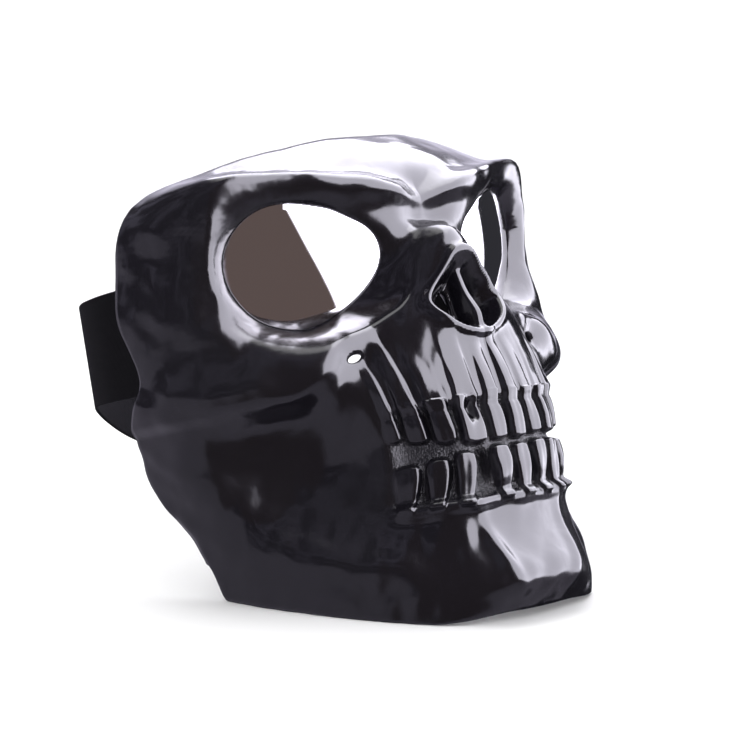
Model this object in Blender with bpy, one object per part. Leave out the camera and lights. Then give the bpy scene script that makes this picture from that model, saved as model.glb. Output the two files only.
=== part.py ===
"""A full-face skull mask that stands on the edge of its jaw and leans back.

The shell is one moulded wall, open at the back, with two mirrored lenses in its eye openings.
A wide strap runs behind it, with its ends held inside the shell by a plain pad on each side.

The face is worked out in its own frame: x to the viewer's right, f forward and z up along the face.
Standing turns that frame back by LEAN, and the face looks along -Y.
"""
import math

import bmesh
import bpy
import numpy as np

for old in list(bpy.data.objects):
    bpy.data.objects.remove(old, do_unlink=True)

# Driving sizes in metres.
HALF_WIDTH = 0.088
FACE_DEPTH = 0.112
FACE_HEIGHT = 0.183
LEAN = math.radians(15)
WALL = 0.0026
LENS_WIDTH = 0.0577
LENS_THICKNESS = 0.0020
LENS_RADIUS = 0.110
LENS_RECESS = 0.0006
NOSTRIL_WIDTH = 0.0066
NOSTRIL_HEIGHT = 0.016
SEPTUM = 0.0046
FORAMEN_WIDTH = 0.0062
FORAMEN_HEIGHT = 0.0038
TOOTH_STAND = 0.0040
TOOTH_GAP = 0.0034
STRAP_WIDTH = 0.040
STRAP_THICKNESS = 0.0013
PAD_THICKNESS = 0.0025
CLEARANCE = 0.0004

# The smooth face in level sections. Heights are shares of FACE_HEIGHT, x of HALF_WIDTH, f of FACE_DEPTH.
STATIONS = (0.0, 0.17, 0.33, 0.56, 0.80, 1.0)
COLUMNS = ("z_mid", "z_rear", "f_mid", "x_arch", "f_arch", "x_muzzle", "f_muzzle",
           "x_cheek", "f_cheek", "x_side", "f_side", "x_rear", "f_rear")
SECTIONS = {
    "jaw edge":    (0.000, 0.136, 0.868, 0.23, 0.842, 0.43, 0.745, 0.68, 0.440, 0.810, 0.210, 0.850, 0.050),
    "chin":        (0.065, 0.220, 0.938, 0.23, 0.905, 0.43, 0.760, 0.71, 0.420, 0.840, 0.180, 0.885, 0.010),
    "under lip":   (0.180, 0.320, 0.870, 0.25, 0.830, 0.40, 0.710, 0.68, 0.380, 0.870, 0.160, 0.930, -0.035),
    "lower teeth": (0.275, 0.390, 0.880, 0.24, 0.850, 0.385, 0.725, 0.67, 0.385, 0.910, 0.160, 0.955, -0.070),
    "upper teeth": (0.400, 0.480, 0.870, 0.24, 0.845, 0.385, 0.725, 0.69, 0.415, 0.940, 0.180, 0.980, -0.050),
    "maxilla":     (0.535, 0.570, 0.815, 0.23, 0.780, 0.43, 0.665, 0.74, 0.490, 0.950, 0.215, 0.990, 0.040),
    "cheek":       (0.645, 0.645, 0.765, 0.20, 0.710, 0.48, 0.610, 0.76, 0.455, 0.950, 0.215, 1.000, 0.012),
    "eye":         (0.740, 0.710, 0.695, 0.18, 0.660, 0.50, 0.585, 0.78, 0.408, 0.940, 0.215, 1.000, -0.020),
    "brow":        (0.830, 0.790, 0.600, 0.23, 0.620, 0.52, 0.580, 0.79, 0.432, 0.920, 0.235, 0.985, -0.015),
    "forehead":    (0.905, 0.850, 0.585, 0.23, 0.580, 0.50, 0.530, 0.75, 0.415, 0.885, 0.235, 0.960, 0.010),
    "top edge":    (1.000, 0.915, 0.400, 0.20, 0.395, 0.45, 0.340, 0.68, 0.255, 0.830, 0.140, 0.915, 0.045),
}

# Raised lines of bone: side x (of HALF_WIDTH), z (of FACE_HEIGHT), relief (of FACE_DEPTH), spread (of FACE_HEIGHT).
BROW = ((0.000, 0.836, 0.027, 0.027), (0.091, 0.852, 0.040, 0.027), (0.250, 0.866, 0.058, 0.027),
        (0.500, 0.883, 0.058, 0.027), (0.682, 0.896, 0.062, 0.030), (0.830, 0.896, 0.064, 0.036),
        (0.920, 0.852, 0.046, 0.038), (0.955, 0.798, 0.024, 0.038), (0.955, 0.721, 0.018, 0.038),
        (0.909, 0.645, 0.014, 0.038))
CHEEKBONE = ((0.409, 0.590, 0.013, 0.033), (0.568, 0.552, 0.034, 0.043), (0.693, 0.522, 0.052, 0.052),
             (0.818, 0.512, 0.056, 0.050), (0.932, 0.516, 0.036, 0.049), (1.023, 0.519, 0.027, 0.049))
JAW_LINE = ((0.955, 0.393, 0.008, 0.033), (0.864, 0.328, 0.012, 0.033), (0.795, 0.273, 0.016, 0.033),
            (0.727, 0.219, 0.020, 0.033), (0.636, 0.169, 0.020, 0.033), (0.489, 0.131, 0.011, 0.033))
CHIN_CORNER = ((0.210, 0.240, 0.007, 0.016), (0.193, 0.164, 0.014, 0.016),
               (0.170, 0.098, 0.014, 0.016), (0.114, 0.038, 0.004, 0.016))

# Hollows: side x, z, half width (of HALF_WIDTH), half height (of FACE_HEIGHT), depth (of FACE_DEPTH).
HOLLOWS = {
    "cheek":   (0.580, 0.352, 0.165, 0.085, 0.040),
    "canine":  (0.495, 0.543, 0.085, 0.040, 0.020),
    "tear":    (0.273, 0.699, 0.080, 0.066, 0.027),
    "chin":    (0.341, 0.120, 0.136, 0.049, 0.013),
}

# Where one tooth ends and the next begins, as shares of the half turn round the face from its middle.
UPPER_TEETH = (-0.388, -0.351, -0.281, -0.181, -0.076, -0.011, 0.052, 0.111, 0.184, 0.281, 0.351, 0.388)
LOWER_TEETH = (-0.384, -0.316, -0.225, -0.113, -0.016, 0.049, 0.113, 0.186, 0.260, 0.330, 0.388)

# The eye opening's radius every 20 degrees from its outer end, as a share of LENS_WIDTH.
LENS_OUTLINE = (0.536, 0.531, 0.496, 0.448, 0.396, 0.364, 0.366, 0.386, 0.444,
                0.462, 0.422, 0.381, 0.367, 0.383, 0.415, 0.443, 0.480, 0.509)
LENS_CENTRE = (0.500, 0.4955, 0.743)
LENS_TURN = math.radians(29)
LENS_TILT = math.radians(9)

# The strap behind the shell, from its right end to its left: x, f and the middle's height z, as shares.
STRAP_ROUTE = ((0.935, -0.10, 0.662), (0.915, -0.24, 0.677), (0.870, -0.38, 0.708), (0.770, -0.55, 0.740),
               (0.560, -0.69, 0.736), (0.280, -0.77, 0.680), (0.000, -0.80, 0.610), (-0.280, -0.77, 0.575),
               (-0.560, -0.69, 0.615), (-0.770, -0.55, 0.660), (-0.870, -0.38, 0.664), (-0.915, -0.24, 0.662),
               (-0.935, -0.10, 0.660))
STRAP_LEVEL = 0.659
STRAP_TUCK = (0.20, 0.01)
PAD_TUCK = (0.19, 0.07)

ROW_LEVELS = (0.0, 0.02, 0.045, 0.08, 0.125, 0.17, 0.207, 0.236, 0.256, 0.29, 0.325, 0.342, 0.36, 0.39,
              0.42, 0.443, 0.475, 0.51, 0.54, 0.565, 0.59, 0.613, 0.636, 0.659, 0.682, 0.705, 0.728, 0.751,
              0.774, 0.797, 0.82, 0.843, 0.866, 0.888, 0.91, 0.935, 0.965, 1.0)


def smooth(start, end, value):
    share = np.clip((value - start) / (end - start), 0, 1)
    return share * share * (3 - 2 * share)


def spline_weights(knots, at):
    """How much each knot's value counts at each asked place, on a natural cubic spline."""
    knots = np.asarray(knots, float)
    at = np.asarray(at, float)
    count = len(knots)
    gap = np.diff(knots)
    system = np.eye(count)
    bends = np.zeros((count, count))
    for i in range(1, count - 1):
        system[i, i - 1:i + 2] = gap[i - 1], 2 * (gap[i - 1] + gap[i]), gap[i]
        bends[i, i - 1:i + 2] = 6 / gap[i - 1], -6 / gap[i - 1] - 6 / gap[i], 6 / gap[i]
    curve = np.linalg.solve(system, bends)
    cell = np.clip(np.searchsorted(knots, at, side="right") - 1, 0, count - 2)
    width = gap[cell]
    left = ((knots[cell + 1] - at) / width)[:, None]
    right = 1 - left
    unit = np.eye(count)
    lift = (width ** 2 / 6)[:, None]
    return (left * unit[cell] + right * unit[cell + 1]
            + (left ** 3 - left) * lift * curve[cell] + (right ** 3 - right) * lift * curve[cell + 1])


def smooth_through(points, count):
    points = np.asarray(points, float)
    return spline_weights(np.linspace(0, 1, len(points)), np.linspace(0, 1, count)) @ points


def base_face(across, up):
    """Points (x, f, z) of the smooth face at each height share and each share across."""
    table = np.array(list(SECTIONS.values()))
    rows = spline_weights(table[:, 0], up) @ table
    share = dict(zip(COLUMNS, rows.T))
    x_half = np.stack([0 * share["f_mid"]] + [share["x_" + n] for n in
                                             ("arch", "muzzle", "cheek", "side", "rear")], 1)
    f_half = np.stack([share["f_mid"]] + [share["f_" + n] for n in
                                          ("arch", "muzzle", "cheek", "side", "rear")], 1)
    mirrored = spline_weights(np.concatenate([-np.array(STATIONS[:0:-1]), STATIONS]), across)
    x = np.concatenate([-x_half[:, :0:-1], x_half], 1) @ mirrored.T
    f = np.concatenate([f_half[:, :0:-1], f_half], 1) @ mirrored.T
    middle = share["f_mid"][:, None]
    tilt = (share["z_rear"] - share["z_mid"])[:, None] / (middle - share["f_rear"][:, None])
    z = share["z_mid"][:, None] + tilt * (middle - f)
    return np.stack([x * HALF_WIDTH, f * FACE_DEPTH, z * FACE_HEIGHT], -1)


def outward(points):
    normal = np.cross(np.gradient(points, axis=0), np.gradient(points, axis=1))
    return normal / np.linalg.norm(normal, axis=-1, keepdims=True)


def bone_line(x, z, rows):
    """Relief of a rounded ridge along a smooth line through the rows."""
    line = smooth_through(rows, 4 * len(rows)) * (HALF_WIDTH, FACE_HEIGHT, FACE_DEPTH, FACE_HEIGHT)
    nearest = np.full(x.shape, 1e9)
    relief = np.zeros(x.shape)
    for start, end in zip(line[:-1], line[1:]):
        step = end - start
        along = np.clip(((x - start[0]) * step[0] + (z - start[1]) * step[1])
                        / (step[0] ** 2 + step[1] ** 2), 0, 1)
        away = np.hypot(x - start[0] - along * step[0], z - start[1] - along * step[1])
        height = start[2] + along * step[2]
        spread = start[3] + along * step[3]
        closer = away < nearest
        relief = np.where(closer, height * np.exp(-(away / spread) ** 2), relief)
        nearest = np.where(closer, away, nearest)
    return relief


def tooth_row(across, z, edges, root, tip, neck):
    """One row of teeth, 1 on a crown and 0 between crowns, narrowed to the share neck at the root."""
    row = np.zeros(z.shape)
    toward_root = np.clip((z - tip) / (root - tip), 0, 1.3)
    for start, end in zip(edges[:-1], edges[1:]):
        half = (end - start) / 2 * 0.94 * (1 - (1 - neck) * toward_root)
        from_middle = np.abs(across - (start + end) / 2) / half
        row = np.maximum(row, smooth(1.0, 0.6, from_middle) * (1 - 0.12 * from_middle ** 2))
    return row


def teeth(across, z):
    """Relief of the mouth: a sunk band with two rows of teeth standing in it, roots above, a lip below."""
    level = z / FACE_HEIGHT
    fade = smooth(0.40, 0.345, np.abs(across))
    relief = -TOOTH_GAP * smooth(0.240, 0.257, level) * smooth(0.437, 0.415, level)
    upper = tooth_row(across, level, UPPER_TEETH, 0.432, 0.355, 0.84)
    upper = upper * smooth(0.349, 0.362, level) * smooth(0.53, 0.46, level)
    upper = upper * (1 - 0.78 * smooth(0.41, 0.448, level))
    lower = tooth_row(across, level, LOWER_TEETH, 0.246, 0.328, 0.58)
    lower = lower * smooth(0.337, 0.326, level) * smooth(0.229, 0.251, level)
    lip = 0.45 * np.exp(-((level - 0.236) / 0.011) ** 2)
    return fade * (relief + TOOTH_STAND * (np.maximum(upper, lower) + lip))


def nose(x, z):
    """Relief of the nose: the bridge, the rim round the pear-shaped opening, and the sunk opening."""
    side = x / HALF_WIDTH
    level = z / FACE_HEIGHT
    spread = 0.085 + 0.62 * np.clip(0.765 - level, 0, 0.22)
    crest = 0.028 + 0.038 * smooth(0.630, 0.745, level)
    bridge = crest * np.exp(-(side / spread) ** 2) * smooth(0.814, 0.743, level) * smooth(0.540, 0.600, level)
    notch = 0.024 * np.exp(-(side / 0.10) ** 2 - ((level - 0.803) / 0.027) ** 2)
    narrowing = 1 - 0.55 * smooth(0.620, 0.705, level)
    ring = np.hypot(side / (0.165 * narrowing), (level - 0.633) / 0.070)
    rim = 0.017 * np.exp(-((ring - 1.10) / 0.13) ** 2)
    wall = np.exp(-(x / (0.5 * SEPTUM)) ** 4)
    step = 0.044 + 0.044 * smooth(0.700, 0.580, level)
    sunk = smooth(1.05, 0.74, ring) * (0.095 - step * wall)
    return (bridge - notch + rim - sunk) * FACE_DEPTH


def lens_frame():
    """Centre, axis, outward and upward directions of the right lens, in the face's frame."""
    centre = np.array(LENS_CENTRE) * (HALF_WIDTH, FACE_DEPTH, FACE_HEIGHT)
    axis = np.array([math.sin(LENS_TURN) * math.cos(LENS_TILT),
                     math.cos(LENS_TURN) * math.cos(LENS_TILT), -math.sin(LENS_TILT)])
    out = np.array([math.cos(LENS_TURN), -math.sin(LENS_TURN), 0.0])
    return centre, axis, out, np.cross(out, axis)


def lens_outline(angle):
    turns = np.radians(np.arange(-18, 36) * 20)
    radii = np.tile(LENS_OUTLINE, 3)
    shape = np.shape(angle)
    return (spline_weights(turns, np.ravel(angle) % (2 * math.pi)) @ radii).reshape(shape) * LENS_WIDTH


def meet_lens(points, normal):
    """Along each normal: the way to the lens's sphere, how far outside the outline, and the direction there."""
    centre, axis, out, rise = lens_frame()
    from_middle = points - (centre - axis * LENS_RADIUS)
    half = (from_middle * normal).sum(-1)
    inside = half ** 2 - ((from_middle ** 2).sum(-1) - LENS_RADIUS ** 2)
    way = -half + np.sqrt(np.clip(inside, 0, None))
    local = points + normal * way[..., None] - centre
    a = local @ out
    b = local @ rise
    angle = np.arctan2(b, a)
    return way, np.hypot(a, b) - lens_outline(angle), angle


def relief(across, up, points, normal):
    """How far the outer face stands off the smooth face, along its normals."""
    x = np.abs(points[..., 0])
    z = points[..., 2]
    height = bone_line(x, z, BROW) + bone_line(x, z, CHEEKBONE)
    height += bone_line(x, z, JAW_LINE) + bone_line(x, z, CHIN_CORNER)
    side = x / HALF_WIDTH
    level = z / FACE_HEIGHT
    height += 0.018 * FACE_DEPTH * smooth(0.82, 0.93, side) * smooth(0.46, 0.49, level) * smooth(0.82, 0.66, level)
    for mid_x, mid_z, half_x, half_z, depth in HOLLOWS.values():
        bowl = np.exp(-((side - mid_x) / half_x) ** 2 - ((level - mid_z) / half_z) ** 2)
        height -= depth * FACE_DEPTH * bowl
    height += nose(x, z)
    height += teeth(across[None, :], z)
    flip = np.where(points[..., :1] < 0, -1.0, 1.0) * (1, 0, 0) + (0, 1, 1)
    way, outside, angle = meet_lens(points * flip, normal * flip)
    above = smooth(0.2, 0.9, np.sin(angle))
    below = smooth(0.2, 0.9, -np.sin(angle))
    inner = smooth(0.2, 0.95, -np.cos(angle))
    share = np.clip(outside / ((0.048 + 0.100 * above + 0.190 * inner + 0.190 * below) * LENS_WIDTH), 0, 1)
    return np.where(share < 1, way + (height - way) * (1 - (1 - share) ** 2), height)


def stand(points):
    """From the face's frame to the standing mask, whose jaw edge lies in the plane z = 0."""
    jaw = SECTIONS["jaw edge"]
    drop = jaw[0] * FACE_HEIGHT * math.cos(LEAN) + jaw[2] * FACE_DEPTH * math.sin(LEAN)
    x, f, z = np.moveaxis(np.asarray(points), -1, 0)
    return np.stack([x, z * math.sin(LEAN) - f * math.cos(LEAN),
                     z * math.cos(LEAN) + f * math.sin(LEAN) - drop], -1)


def shell_columns():
    """Shares across the face: four to a tooth, then wider to the rear edges."""
    edges = np.array(UPPER_TEETH)
    width = np.diff(edges)[:, None]
    mouth = (edges[:-1, None] + width * (0.0, 0.24, 0.5, 0.76)).ravel()
    side = np.array([0.388, 0.42, 0.455, 0.49, 0.53, 0.57, 0.605, 0.64, 0.675, 0.71, 0.75, 0.80, 0.86, 0.91,
                     0.955, 1.0])
    columns = np.concatenate([-side[:0:-1], mouth, side])
    return columns if len(columns) % 2 else np.delete(columns, 3)


def shell_faces():
    """Outer and inner points of the wall, standing. The inner face is a coarser one of every second point."""
    across = shell_columns()
    up = np.array(ROW_LEVELS)
    up = up if len(up) % 2 else np.insert(up, -1, (up[-2] + up[-1]) / 2)
    points = base_face(across, up)
    edge = (1 - smooth(0.0, 0.22, up))[:, None]
    corner = smooth(0.91, 1.0, np.abs(across)) * 0.066
    front = (1 - smooth(0.08, 0.40, np.abs(across))) * 0.020
    points[..., 2] += (corner * edge + front * edge ** 2) * FACE_HEIGHT
    normal = outward(points)
    height = relief(across, up, points, normal)
    padded = np.pad(height, 1, mode="edge")
    rows, columns = height.shape
    lowest = np.min([padded[i:i + rows, j:j + columns] for i in range(3) for j in range(3)], axis=0)
    cap = 0.2 * FACE_DEPTH * (1 - smooth(0.68, 0.80, np.abs(across)))
    inner_height = np.minimum(lowest, cap) - WALL
    outer = stand(points + normal * height[..., None])
    inner = stand(points + normal * inner_height[..., None])
    foot = (corner * math.cos(LEAN) + front * math.cos(LEAN)) * FACE_HEIGHT
    outer[0, :, 2] = foot
    inner[0, :, 2] = foot
    return outer, inner[::2, ::2]


def mesh_object(name, vertices, faces, material=None):
    mesh = bpy.data.meshes.new(name)
    mesh.from_pydata([tuple(v) for v in vertices], [], [tuple(int(i) for i in f) for f in faces])
    mesh.validate()
    thing = bpy.data.objects.new(name, mesh)
    bpy.context.scene.collection.objects.link(thing)
    if material:
        mesh.materials.append(material)
        mesh.shade_smooth()
    return thing


def grid_faces(rows, columns, first=0, flip=False):
    i, j = np.meshgrid(np.arange(rows - 1), np.arange(columns - 1), indexing="ij")
    corner = first + i * columns + j
    quads = np.stack([corner, corner + 1, corner + columns + 1, corner + columns], -1).reshape(-1, 4)
    return quads[:, ::-1] if flip else quads


def rim_faces(outer_loop, inner_loop):
    """Triangles between a closed loop and one with half as many points."""
    faces = []
    count = len(outer_loop)
    for k in range(0, count, 2):
        a, b, c = outer_loop[k], outer_loop[k + 1], outer_loop[(k + 2) % count]
        p, q = inner_loop[k // 2], inner_loop[(k // 2 + 1) % len(inner_loop)]
        faces += [(b, a, p), (b, p, q), (c, b, q)]
    return faces


def border(rows, columns, first=0):
    """Indices round the edge of a grid."""
    bottom = [first + j for j in range(columns)]
    right = [first + i * columns + columns - 1 for i in range(1, rows)]
    top = [first + (rows - 1) * columns + j for j in range(columns - 2, -1, -1)]
    left = [first + i * columns for i in range(rows - 2, 0, -1)]
    return bottom + right + top + left


def make_shell(material):
    outer, inner = shell_faces()
    rows, columns = outer.shape[:2]
    first = rows * columns
    faces = list(grid_faces(rows, columns))
    faces += list(grid_faces(inner.shape[0], inner.shape[1], first, flip=True))
    faces += rim_faces(border(rows, columns), border(inner.shape[0], inner.shape[1], first))
    vertices = np.concatenate([outer.reshape(-1, 3), inner.reshape(-1, 3)])
    return mesh_object("shell", vertices, faces, material)


def prism(name, near, far):
    """A closed solid between two loops of as many points."""
    count = len(near)
    faces = [tuple(range(count))[::-1], tuple(range(count, 2 * count))]
    faces += [(k, (k + 1) % count, (k + 1) % count + count, k + count) for k in range(count)]
    return mesh_object(name, np.concatenate([near, far]), faces)


def cut(body, cutter):
    cutter.hide_render = True
    cutter.display_type = "WIRE"
    step = body.modifiers.new(cutter.name, "BOOLEAN")
    step.operation = "DIFFERENCE"
    step.object = cutter


def mirrored(points, side):
    """The same loop on the left, in an order that keeps the solid facing outward."""
    return points if side > 0 else (points * (-1, 1, 1))[::-1]


def eye_cutter(name, side):
    centre, axis, out, rise = lens_frame()
    angle = np.radians(np.arange(0, 360, 10))
    reach = lens_outline(angle)
    loop = centre + (reach * np.cos(angle))[:, None] * out + (reach * np.sin(angle))[:, None] * rise
    near = stand(mirrored(loop - axis * 0.5 * LENS_WIDTH, side))
    far = stand(mirrored(loop + axis * 0.5 * LENS_WIDTH, side))
    return prism(name, near, far)


def hole_cutter(name, side, place, size, turn, lean, reach, count):
    """An oval prism. Its axis turns outward by turn, and the oval's long side leans by lean."""
    axis = np.array([math.sin(turn), math.cos(turn), 0.0])
    out = np.array([math.cos(turn), -math.sin(turn), 0.0])
    rise = np.array([0.0, 0.0, 1.0])
    angle = np.arange(count) * 2 * math.pi / count
    a = 0.5 * size[0] * np.cos(angle)
    b = 0.5 * size[1] * np.sin(angle)
    loop = (np.array(place) * (HALF_WIDTH, FACE_DEPTH, FACE_HEIGHT)
            + (a * math.cos(lean) - b * math.sin(lean))[:, None] * out
            + (a * math.sin(lean) + b * math.cos(lean))[:, None] * rise)
    near = stand(mirrored(loop - axis * reach, side))
    far = stand(mirrored(loop + axis * reach, side))
    return prism(name, near, far)


def make_lens(name, side, material):
    """A curved plate inside the eye opening, with CLEARANCE all round."""
    centre, axis, out, rise = lens_frame()
    angle = np.radians(np.arange(0, 360, 15))
    reach = lens_outline(angle) - CLEARANCE
    rings = np.array([0.35, 0.7, 1.0])
    a = rings[:, None] * reach * np.cos(angle)
    b = rings[:, None] * reach * np.sin(angle)
    sag = LENS_RADIUS - np.sqrt(LENS_RADIUS ** 2 - a ** 2 - b ** 2)

    def sheet(depth):
        spread = centre + a[..., None] * out + b[..., None] * rise - (sag + depth)[..., None] * axis
        return np.concatenate([[centre - depth * axis], spread.reshape(-1, 3)])

    vertices = np.concatenate([sheet(LENS_RECESS), sheet(LENS_RECESS + LENS_THICKNESS)])
    count = len(angle)
    half = 1 + count * len(rings)
    faces = []
    for k in range(count):
        n = (k + 1) % count
        faces += [(0, 1 + k, 1 + n), (half, half + 1 + n, half + 1 + k)]
        for ring in range(len(rings) - 1):
            p = 1 + ring * count
            faces += [(p + k, p + k + count, p + n + count, p + n)]
            faces += [(half + p + k, half + p + n, half + p + n + count, half + p + k + count)]
        last = 1 + (len(rings) - 1) * count
        faces += [(last + k, half + last + k, half + last + n, last + n)]
    if side < 0:
        vertices = vertices * (-1, 1, 1)
    else:
        faces = [face[::-1] for face in faces]
    return mesh_object(name, stand(vertices), faces, material)


def tucked_line(side, start, end, count):
    """Middle of the strap where it lies flat on the inside of the side wall, at shares of FACE_DEPTH."""
    wall = base_face(np.linspace(0.70, 1.0, 40), np.linspace(0.4, 0.95, 80))
    wall = wall - outward(wall) * (WALL + CLEARANCE)
    level = wall[:, -1, 2]
    middle = STRAP_LEVEL * FACE_HEIGHT
    beside = wall[np.abs(level - middle) < 0.5 * STRAP_WIDTH + WALL]
    f = np.linspace(start, end, count) * FACE_DEPTH
    x = np.min([np.interp(f, row[::-1, 1], row[::-1, 0]) for row in beside], axis=0)
    return np.stack([side * (x - 0.5 * STRAP_THICKNESS), f, np.full(count, middle)], 1)


def strap_line(count):
    """The strap's middle line, from inside the right wall, behind the shell, to inside the left wall."""
    route = np.array(STRAP_ROUTE) * (HALF_WIDTH, FACE_DEPTH, FACE_HEIGHT)
    tuck = tucked_line(1, STRAP_TUCK[0], STRAP_TUCK[1], 4)
    points = np.concatenate([tuck, route, tuck[::-1] * (-1, 1, 1)])
    travel = np.concatenate([[0], np.cumsum(np.linalg.norm(np.diff(points, axis=0), axis=1))])
    return spline_weights(travel, np.linspace(0, travel[-1], count)) @ points


def ribbon(name, line, width, offset, thickness, material):
    """A flat band along a line. It is upright in the face's frame, and its middle lies offset inward."""
    along = np.gradient(line, axis=0)
    level = along * (1, 1, 0)
    level /= np.linalg.norm(level, axis=1, keepdims=True)
    inward = np.stack([level[:, 1], -level[:, 0], 0 * level[:, 0]], 1)
    inward *= np.sign((inward[:, :1] * -line[:, :1]).sum())
    up = np.array([0.0, 0.0, 0.5 * width])
    inner = line + inward * (offset + 0.5 * thickness)
    outer = line + inward * (offset - 0.5 * thickness)
    vertices = stand(np.stack([outer - up, outer + up, inner + up, inner - up], 1).reshape(-1, 3))
    count = len(line)
    faces = [(0, 1, 2, 3), tuple(4 * (count - 1) + k for k in (3, 2, 1, 0))]
    for k in range(count - 1):
        for side in range(4):
            a = 4 * k + side
            b = 4 * k + (side + 1) % 4
            faces.append((b, a, a + 4, b + 4))
    return mesh_object(name, vertices, faces, material)


def material(name, colour, roughness, metallic):
    made = bpy.data.materials.new(name)
    made.use_nodes = True
    shader = made.node_tree.nodes["Principled BSDF"]
    shader.inputs["Base Color"].default_value = (*colour, 1)
    shader.inputs["Roughness"].default_value = roughness
    shader.inputs["Metallic"].default_value = metallic
    return made


def outward_facing(thing):
    """Turn a solid's faces over if its volume comes out negative."""
    edit = bmesh.new()
    edit.from_mesh(thing.data)
    if edit.calc_volume(signed=True) < 0:
        bmesh.ops.reverse_faces(edit, faces=edit.faces)
    edit.to_mesh(thing.data)
    edit.free()


gloss = material("gloss_black", (0.012, 0.011, 0.014), 0.12, 0.0)
mirror = material("mirror_lens", (0.75, 0.74, 0.75), 0.05, 1.0)
webbing = material("black_webbing", (0.016, 0.015, 0.018), 0.85, 0.0)
plain = material("black_pad", (0.02, 0.02, 0.022), 0.5, 0.0)

shell = make_shell(gloss)
solids = [shell]
cutters = []
for side, word in ((1, "right"), (-1, "left")):
    cutters.append(eye_cutter("eye_cutter_" + word, side))
    nostril = ((0.5 * (SEPTUM + NOSTRIL_WIDTH)) / HALF_WIDTH, 0.62, 0.622)
    cutters.append(hole_cutter("nostril_cutter_" + word, side, nostril, (NOSTRIL_WIDTH, NOSTRIL_HEIGHT),
                               0.0, 0.0, 0.16 * FACE_DEPTH, 12))
    cutters.append(hole_cutter("foramen_cutter_" + word, side, (0.495, 0.640, 0.545),
                               (FORAMEN_WIDTH, FORAMEN_HEIGHT), math.radians(32), math.radians(-20),
                               0.10 * FACE_DEPTH, 12))
    solids.append(make_lens("lens_" + word, side, mirror))

middle_line = strap_line(60)
solids.append(ribbon("strap", middle_line, STRAP_WIDTH, 0.0, STRAP_THICKNESS, webbing))
for side, word in ((1, "right"), (-1, "left")):
    line = tucked_line(side, PAD_TUCK[0], PAD_TUCK[1], 6)
    away = 0.5 * (STRAP_THICKNESS + PAD_THICKNESS) + CLEARANCE
    solids.append(ribbon("strap_pad_" + word, line, 0.6 * STRAP_WIDTH, away, PAD_THICKNESS, plain))

for thing in solids + cutters:
    outward_facing(thing)
for cutter in cutters:
    cut(shell, cutter)

# The mask stands with the middle of its outer box over the origin.
mask = bpy.data.objects.new("mask", None)
bpy.context.scene.collection.objects.link(mask)
reach = np.array([v.co for thing in solids for v in thing.data.vertices])
mask.location = (0, -0.5 * (reach[:, 1].min() + reach[:, 1].max()), 0)
for thing in solids + cutters:
    thing.parent = mask
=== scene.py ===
import math

import bpy
import numpy as np
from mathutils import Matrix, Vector


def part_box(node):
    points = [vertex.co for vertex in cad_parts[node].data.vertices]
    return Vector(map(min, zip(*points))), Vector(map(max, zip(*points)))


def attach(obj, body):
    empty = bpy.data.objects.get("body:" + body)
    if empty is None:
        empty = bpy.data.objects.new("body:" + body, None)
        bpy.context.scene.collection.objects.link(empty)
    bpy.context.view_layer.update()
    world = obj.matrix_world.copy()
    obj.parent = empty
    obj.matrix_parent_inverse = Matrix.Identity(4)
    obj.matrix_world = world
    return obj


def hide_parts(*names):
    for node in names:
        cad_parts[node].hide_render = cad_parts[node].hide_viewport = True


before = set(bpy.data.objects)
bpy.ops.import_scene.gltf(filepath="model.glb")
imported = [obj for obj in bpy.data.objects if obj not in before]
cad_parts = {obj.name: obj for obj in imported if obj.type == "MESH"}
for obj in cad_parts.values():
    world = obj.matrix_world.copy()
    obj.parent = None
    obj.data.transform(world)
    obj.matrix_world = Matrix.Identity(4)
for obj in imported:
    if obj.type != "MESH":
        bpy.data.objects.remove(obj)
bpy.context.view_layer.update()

# Lengths are in metres. The tables are in shares: heights of faceHeight, x of halfWidth, f (forward) of
# faceDepth. A place round the face, across, runs from -1 at one rear edge through 0 in the middle to 1 at
# the other.
face = {
    "halfWidth": 0.088,
    "faceDepth": 0.112,
    "faceHeight": 0.183,
    "lean": math.radians(15),  # how far back the mask leans as it stands
    "wall": 0.0026,
    "septum": 0.0046,  # thickness of the nose's middle wall
    "toothStand": 0.0040,
    "toothGap": 0.0038,  # depth of the band that the teeth stand in
    "stations": (0.0, 0.17, 0.33, 0.56, 0.80, 1.0),  # where a section's points lie round the face
    "columns": ("z_mid", "z_rear", "f_mid", "x_arch", "f_arch", "x_muzzle", "f_muzzle",
                "x_cheek", "f_cheek", "x_side", "f_side", "x_rear", "f_rear"),
}
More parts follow.
